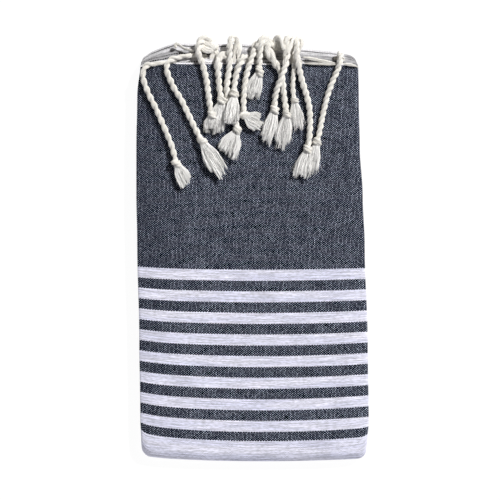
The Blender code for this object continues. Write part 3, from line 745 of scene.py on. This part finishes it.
def brush(knot, tips, row, random, sink):
    """The yarns frayed out beyond the knot, sticking together in locks."""
    out = unit(tips - knot)
    side = unit(np.cross((0, 0, 1), out))
    over = np.cross(out, side)
    length = np.linalg.norm(tips - knot)
    spread = row["spread"] * MM
    root = BRUSH_ROOT * row["size"]
    locks = random.uniform(-1, 1, (LOCKS, 2))
    stray = random.uniform(-LOCK_STRAYS, LOCK_STRAYS, LOCKS)
    locks[:, 0] = np.linspace(-0.95, 0.95, LOCKS) + stray
    ends = random.uniform(*LOCK_ENDS, LOCKS)
    for count, points, thick, sides, wild in BRUSH:
        across = random.uniform(-1, 1, count)
        through = random.uniform(-1, 1, count) * np.sqrt(1 - 0.7 * across ** 2)
        near = np.abs(across[:, None] - locks[:, 0]).argmin(axis=1)
        reach = ends[near] * random.uniform(*YARN_ENDS, count) * (1 - 0.10 * across ** 2)
        t = np.linspace(0, 1, points)[None, :] * reach[:, None]
        half = root + (spread - root) * smooth(t * 1.9 + 0.10)
        clump = CLUMP * smooth(t * 1.2)
        a = across[:, None] * (1 - clump) + locks[near, 0][:, None] * clump
        b = through[:, None] * (1 - clump) + locks[near, 1][:, None] * clump
        belly = 1 + 0.25 * np.sin(math.pi * t.clip(0, 1))
        deep = (BRUSH_ROOT - thick) * row["size"] * belly * (1 - 0.40 * t)
        phase = random.uniform(0, 2 * math.pi, (4, count, 1))
        beat = random.uniform(7, 22, (4, count, 1))
        curl = wild * CURL * smooth(t * 2)
        bend = wild * random.normal(0, BEND, (count, 1)) * t ** 2
        wave_x = np.sin(beat[0] * t + phase[0]) + 0.6 * np.sin(beat[1] * 1.9 * t + phase[1])
        wave_z = np.sin(beat[2] * t + phase[2]) + 0.6 * np.sin(beat[3] * 1.9 * t + phase[3])
        x = a * half + bend + curl * wave_x
        z = b * deep + curl * 0.7 * wave_z
        run = length * t + BRUSH_STARTS
        lines = knot + out * run[..., None] + side * x[..., None] + over * z[..., None]
        floor = front_height(lines[..., 0], lines[..., 1]) + thick
        lines[..., 2] = np.maximum(lines[..., 2], floor)
        fine = thick * row["size"] * (1 - 0.40 * np.linspace(0, 1, points) ** 2)
        radii = fine[None, :] * random.uniform(0.75, 1.15, (count, 1))
        tubes(lines, radii, sides, sink, FRAYED)


def make_ends():
    """Along the front hem lie thin rolls of warp ends, and bundles of them at the head."""
    random = np.random.default_rng(7)
    sink = new_sink()
    for x0, above0, x1, above1, thick, lift in ROLLS:
        x = np.arange(x0, x1, ROLL_POINTS) * MM
        line = hem_point(1, x) + (0, 0, 0.0007 + lift * MM)
        line[:, 1] += np.interp(x, (x0 * MM, x1 * MM), (above0 * MM, above1 * MM))
        ends = smooth(np.minimum(x - x[0], x[-1] - x) / 0.009)
        swell = thick * (0.35 + 0.65 * ends)
        _, rounds = plies(line, 0 * x, x - x[0], swell)
        lines = unsteady(random, line + rounds[0][::2], 0.00012, 5)
        tubes(lines, np.tile(YARN_RADIUS * swell * 1.25, (len(lines), 1)), YARN_SIDES, sink)
    for width0, width1, places in BUNDLES:
        line, even = curve_through([above_front(*place) for place in places], STEP)
        _, normal, binormal = frames_along(line)
        half = np.interp(even, (0, even[-1]), (width0, width1)) * MM / 2
        half = half * smooth(np.minimum(even, even[-1] - even) / 0.004 + 0.5)
        round_it = np.arange(BUNDLE_YARNS)[:, None] / BUNDLE_YARNS
        turned = 2 * math.pi * (round_it + even / BUNDLE_TURN)
        off = ((np.cos(turned) * half)[..., None] * normal
               + (np.sin(turned) * half * BUNDLE_FLAT)[..., None] * binormal)
        lines = unsteady(random, line + off, 0.00015, 5)
        radii = np.tile(half * 0.26, (BUNDLE_YARNS, 1))
        radii = radii * random.uniform(0.9, 1.15, (BUNDLE_YARNS, 1))
        tubes(lines, radii, YARN_SIDES, sink)
    return mesh_of("warp_ends", sink)


# ---- materials -------------------------------------------------------
class Nodes:
    """Builds a material's nodes from sockets and plain numbers."""

    def __init__(self, name, roughness, sheen):
        self.look = bpy.data.materials.new(name)
        self.look.use_nodes = True
        self.tree = self.look.node_tree
        self.shader = self.tree.nodes["Principled BSDF"]
        self.shader.inputs["Roughness"].default_value = roughness
        self.shader.inputs["Specular IOR Level"].default_value = 0.08
        self.shader.inputs["Sheen Weight"].default_value = sheen
        self.shader.inputs["Sheen Roughness"].default_value = 0.6

    def put(self, socket, value):
        if isinstance(value, bpy.types.NodeSocket):
            self.tree.links.new(value, socket)
        elif isinstance(value, tuple) and len(value) == 3 and socket.type == "RGBA":
            socket.default_value = (*value, 1)
        else:
            socket.default_value = value

    def math(self, operation, a, b=0.0, c=0.0):
        node = self.tree.nodes.new("ShaderNodeMath")
        node.operation = operation
        for socket, value in zip(node.inputs, (a, b, c)):
            self.put(socket, value)
        return node.outputs[0]

    def ramp(self, value, low, high, out_low=0.0, out_high=1.0):
        node = self.tree.nodes.new("ShaderNodeMapRange")
        node.interpolation_type = "SMOOTHSTEP"
        for name, number in zip(("Value", "From Min", "From Max", "To Min", "To Max"),
                                (value, low, high, out_low, out_high)):
            self.put(node.inputs[name], number)
        return node.outputs[0]

    def mix(self, share, low, high):
        node = self.tree.nodes.new("ShaderNodeMix")
        node.data_type = "RGBA"
        self.put(node.inputs[0], share)
        self.put(node.inputs[6], low)
        self.put(node.inputs[7], high)
        return node.outputs[2]

    def tint(self, colour, factor):
        node = self.tree.nodes.new("ShaderNodeVectorMath")
        node.operation = "SCALE"
        self.put(node.inputs[0], colour)
        self.put(node.inputs["Scale"], factor)
        return node.outputs[0]

    def vector(self, x, y, z):
        node = self.tree.nodes.new("ShaderNodeCombineXYZ")
        for socket, value in zip(node.inputs, (x, y, z)):
            self.put(socket, value)
        return node.outputs[0]

    def times(self, *factors):
        product = factors[0]
        for factor in factors[1:]:
            product = self.math("MULTIPLY", product, factor)
        return product

    def one_minus(self, amount):
        return self.math("SUBTRACT", 1.0, amount)

    def between(self, value, low, high):
        """1 where the value lies between the two, and 0 elsewhere."""
        return self.times(self.math("GREATER_THAN", value, low),
                          self.math("LESS_THAN", value, high))

    def noise(self, u, v, across, along, seed=0.0, detail=2.0, rough=0.5):
        """Noise with so many waves to a unit across and along; its own for each seed."""
        node = self.tree.nodes.new("ShaderNodeTexNoise")
        place = self.vector(self.times(u, across), self.times(v, along), seed)
        self.put(node.inputs["Vector"], place)
        node.inputs["Scale"].default_value = 1.0
        node.inputs["Detail"].default_value = detail
        node.inputs["Roughness"].default_value = rough
        return node.outputs[0]

    def uv(self, name):
        node = self.tree.nodes.new("ShaderNodeUVMap")
        node.uv_map = name
        split = self.tree.nodes.new("ShaderNodeSeparateXYZ")
        self.tree.links.new(node.outputs[0], split.inputs[0])
        return split.outputs[0], split.outputs[1]

    def finish(self, colour, height, distance, strength=1.0):
        self.put(self.shader.inputs["Base Color"], colour)
        bump = self.tree.nodes.new("ShaderNodeBump")
        bump.inputs["Strength"].default_value = strength
        bump.inputs["Distance"].default_value = distance
        self.put(bump.inputs["Height"], height)
        self.tree.links.new(bump.outputs[0], self.shader.inputs["Normal"])
        return self.look


def white_wefts(n, u, v, across, on_front):
    """Where the weft is white: in stripes and bands, and where along the hems or at the
    head."""
    toothed = n.math("MULTIPLY_ADD", across, TOOTH, v)
    place = n.math("DIVIDE", n.math("SUBTRACT", toothed, STRIPES_FROM), STRIPE_PITCH)
    in_stripe = n.math("LESS_THAN", n.math("FRACT", place), STRIPE_WIDTH / STRIPE_PITCH)
    striped = n.times(in_stripe, n.between(place, 0.0, float(STRIPES)))
    band = n.times(n.math("GREATER_THAN", toothed, BAND[0]),
                   n.math("LESS_THAN", v, BAND[1]))
    # The white's going out at the right is painted shade: dark ground stands in for the shade
    # under the rolls.
    comes, goes = FRONT_EDGE_FROM, FRONT_EDGE_TO
    front_edge = n.times(
        n.ramp(u, FRONT_FROM + comes[0], FRONT_FROM + comes[1]),
        n.ramp(u, FRONT_FROM + goes[0], FRONT_FROM + goes[1], FRONT_EDGE, 0.0))
    edge_width = n.math("MULTIPLY_ADD", on_front,
                        n.math("SUBTRACT", front_edge, INNER_EDGE), INNER_EDGE)
    edge = n.math("LESS_THAN", toothed, edge_width)
    head = n.between(v, *HEAD_BAND)
    white = n.math("MAXIMUM", n.math("MAXIMUM", striped, band),
                   n.math("MAXIMUM", edge, head))
    return white, edge, head


def dark_wefts_and_shade(n, u, v, across, on_front, head):
    """The whites at the head have thin dark wefts, broken where the warp crosses them, and so
    have the hems behind the front one. The head's darkest line, and each hem's line where the
    layer in front meets it, are partly dark weft and partly painted shade."""
    broken = n.ramp(across, -0.9, 0.1, 0.35, 1.0)
    # The head's darkest line: partly dark weft, partly painted shadow where the hems meet the
    # fold.
    from_line = n.math("ABSOLUTE", n.math("SUBTRACT", v, HEAD_LINE))
    head_line = n.math("LESS_THAN", from_line, HEAD_LINE_HALF)
    beat = n.math("FRACT", n.math("DIVIDE", v, HEAD_LINES))
    thin = n.times(n.math("LESS_THAN", beat, HEAD_LINES_DARK), head)
    # Each hem behind the front one gets a dark line where the layer in front meets it: partly
    # dark weft, partly painted shade.
    thick = n.ramp(n.noise(u, v, 46, 30, 12.0), 0.44, 0.66, 0.84, 0.42)
    behind = n.times(n.math("LESS_THAN", v, -0.0001), n.one_minus(on_front))
    step = n.math("FRACT", n.math("DIVIDE", v, HEM_STEP))
    rim = n.times(n.math("GREATER_THAN", step, thick), behind)
    either = n.math("MAXIMUM", rim, n.times(thin, 0.5))
    return n.math("MAXIMUM", head_line, n.times(either, broken))


def charcoal(n, u, v, warps, wefts, across, along, blotch):
    """The ground: light flecks of warp on a dark weft, uneven at several sizes, with painted
    shade towards the left side.
    """
    # A fleck is narrow, and as long as the gap to the next one in its column.
    afloat = n.ramp(along, -0.15, 0.15, -1.0, 1.0)
    fleck = n.ramp(n.times(across, afloat), 0.90, 0.99)
    streak = n.noise(u, v, 330, 14, 3.0)
    grain = n.noise(warps, wefts, 0.8, 0.8, 21.0, 1.0)
    # The ramp on u from FRONT_FROM is painted shade: the flecks darken to 0.72 towards the left
    # side and round the left fold.
    level = n.times(n.ramp(streak, 0.30, 0.70, 0.98, 1.22),
                    n.ramp(blotch, 0.30, 0.70, 0.70, 1.15),
                    n.ramp(u, FRONT_FROM, FRONT_FROM + 0.075, 0.72, 1.0),
                    n.ramp(grain, 0.35, 0.65, 0.38, 1.70))
    weft_slub = n.noise(u, v, 24, 620, 5.0)
    weft = n.tint(WEFT_COLOUR, n.ramp(weft_slub, 0.25, 0.75, 0.6, 1.5))
    return n.mix(fleck, weft, n.tint(WARP_COLOUR, level))


def cloth_look():
    """Plain weave: pale warp flecks on a charcoal weft, with white weft stripes."""
    n = Nodes("cloth_weave", 0.95, 0.02)
    u, v = n.uv("cloth")
    # The threads across and along, counted, and how high each stands where it is.
    warps = n.math("MULTIPLY_ADD", n.noise(u, v, 55, 38, 0.0, 3.0), WANDER,
                   n.math("DIVIDE", u, WARP_PITCH))
    wefts = n.math("MULTIPLY_ADD", n.noise(u, v, 46, 60, 7.0), DRIFT,
                   n.math("DIVIDE", v, WEFT_PITCH))
    across = n.math("SINE", n.times(warps, math.pi))
    along = n.math("SINE", n.times(wefts, math.pi))
    on_front = n.between(u, FRONT_FROM - 0.001, FRONT_FROM + OUTER + 0.003)
    white, edge, head = white_wefts(n, u, v, across, on_front)
    dark = dark_wefts_and_shade(n, u, v, across, on_front, head)
    blotch = n.noise(u, v, 95, 60, 11.0)
    ground = charcoal(n, u, v, warps, wefts, across, along, blotch)
    # The white weft covers the warp, but for faint specks and slubs.
    slub = n.noise(u, v, 32, 780, 9.0, 3.0)
    dash = n.noise(u, v, 210, 860, 17.0)
    speck = n.times(n.ramp(n.times(across, along), -0.85, -0.30, 1.0, 0.0),
                    n.ramp(blotch, 0.45, 0.70))
    bright = n.math("SUBTRACT", n.ramp(slub, 0.30, 0.70, 0.68, 1.12), n.times(speck, 0.28))
    # The head's whites, and the hems', are duller, most of all at the right, where painted shade
    # stands for the right fold in shadow.
    fringed = n.math("MAXIMUM", edge, head)
    right = FRONT_FROM + OUTER
    corner = n.times(fringed, n.ramp(u, right - CORNER_SHADE[0], right - CORNER_SHADE[1]))
    dull = n.math("MULTIPLY_ADD", head, 0.10, n.times(edge, 0.03))
    dull_and_shade = n.one_minus(n.math("MULTIPLY_ADD", corner, 0.48, dull))
    level = n.times(bright, n.ramp(dash, 0.36, 0.58, 0.80, 1.04), dull_and_shade,
                    n.one_minus(n.times(dark, 0.93)))
    lavender = n.noise(u, v, 12, 120, 2.0, 1.0)
    pale = n.mix(n.ramp(lavender, 0.35, 0.65), *STRIPE_COLOURS)
    pale = n.mix(fringed, pale, HEM_COLOUR)
    colour = n.mix(white, ground, n.tint(pale, level))
    # The warp stands out more than the weft between its threads.
    crest = n.math("ABSOLUTE", along)
    relief = n.times(n.math("POWER", n.math("ABSOLUTE", across), 0.6),
                     n.math("MULTIPLY_ADD", crest, 0.15, 0.85))
    ribs = n.math("MULTIPLY_ADD", slub, 0.8, n.times(crest, 0.7))
    height = n.math("MULTIPLY_ADD", n.math("SUBTRACT", ribs, relief), white, relief)
    return n.finish(colour, height, WEAVE_RELIEF, 0.8)


def fringe_look():
    """Soft undyed cotton yarn, streaked along each strand."""
    n = Nodes("fringe_cotton", 0.9, 0.25)
    s, a = n.uv("strand")
    streak = n.noise(s, a, 190, 5.0, 0.0, 3.0, 0.6)
    patch = n.noise(s, 0.0, 34, 0.0, 4.0, 1.0)
    colour = n.mix(n.ramp(patch, 0.35, 0.65), *YARN_COLOURS)
    # The brush is whiter: partly fluffed cotton, partly painted light against its own shade.
    colour = n.mix(n.math("GREATER_THAN", s, FRAYED - 1), colour, FRAYED_AND_LIT_COLOUR)
    colour = n.tint(colour, n.ramp(streak, 0.25, 0.75, 0.88, 1.06))
    return n.finish(colour, streak, YARN_RELIEF, 0.9)


def floor_look():
    look = bpy.data.materials.new("floor_pale")
    look.use_nodes = True
    shader = look.node_tree.nodes["Principled BSDF"]
    shader.inputs["Base Color"].default_value = (0.08, 0.08, 0.08, 1)
    shader.inputs["Emission Color"].default_value = (1.0, 1.0, 1.0, 1)
    shader.inputs["Emission Strength"].default_value = FLOOR_GLOW
    shader.inputs["Roughness"].default_value = 1.0
    shader.inputs["Specular IOR Level"].default_value = 0.0
    return look


# ---- the scene -------------------------------------------------------
def make_floor():
    corners = ((-1, -1, 0), (1, -1, 0), (1, 1, 0), (-1, 1, 0))
    points = np.array(corners, float) * FLOOR_HALF
    floor = make_mesh("floor", points, [np.array([[0, 1, 2, 3]])], points[:, :2], "floor")
    floor.data.materials.append(floor_look())


def make_light():
    world = bpy.data.worlds.new("studio")
    world.use_nodes = True
    world.node_tree.nodes["Background"].inputs[0].default_value = (1.0, 1.0, 1.0, 1)
    world.node_tree.nodes["Background"].inputs[1].default_value = SKY
    bpy.context.scene.world = world
    for sun in SUNS:
        make_sun(*sun)


def make_sun(name, energy, spread, towards, colour):
    sun = bpy.data.lights.new(name, "SUN")
    sun.energy = energy
    sun.angle = math.radians(spread)
    sun.color = colour
    lamp = bpy.data.objects.new(name, sun)
    bpy.context.scene.collection.objects.link(lamp)
    lamp.rotation_mode = "QUATERNION"
    lamp.rotation_quaternion = Vector(towards).to_track_quat("Z", "Y")


def make_camera():
    data = bpy.data.cameras.new("camera")
    data.sensor_width = SENSOR * 1000
    data.lens = SENSOR * 1000 * (CAMERA_HEIGHT - HEIGHT) / (PIXEL * PHOTO_SIDE)
    data.clip_end = 50
    camera = bpy.data.objects.new("camera", data)
    bpy.context.scene.collection.objects.link(camera)
    camera.location = (AIM[0], AIM[1], CAMERA_HEIGHT)
    bpy.context.scene.camera = camera


make_camera()
bpy.context.scene.view_settings.view_transform = "Standard"
# The denoiser is given the weave's colours as they are, or it would smooth the threads.
bpy.context.scene.cycles.denoising_prefilter = "NONE"
cloth = make_cloth()
cloth.data.materials.append(cloth_look())
cotton = fringe_look()
for number, (name, row) in enumerate(TASSELS.items()):
    tassel = make_tassel(name, row, number)
    tassel.data.materials.append(cotton)
    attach(tassel, "root")
    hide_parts(name)
ends = make_ends()
ends.data.materials.append(cotton)
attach(ends, "root")
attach(cloth, "root")
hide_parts("towel")
make_floor()
make_light()
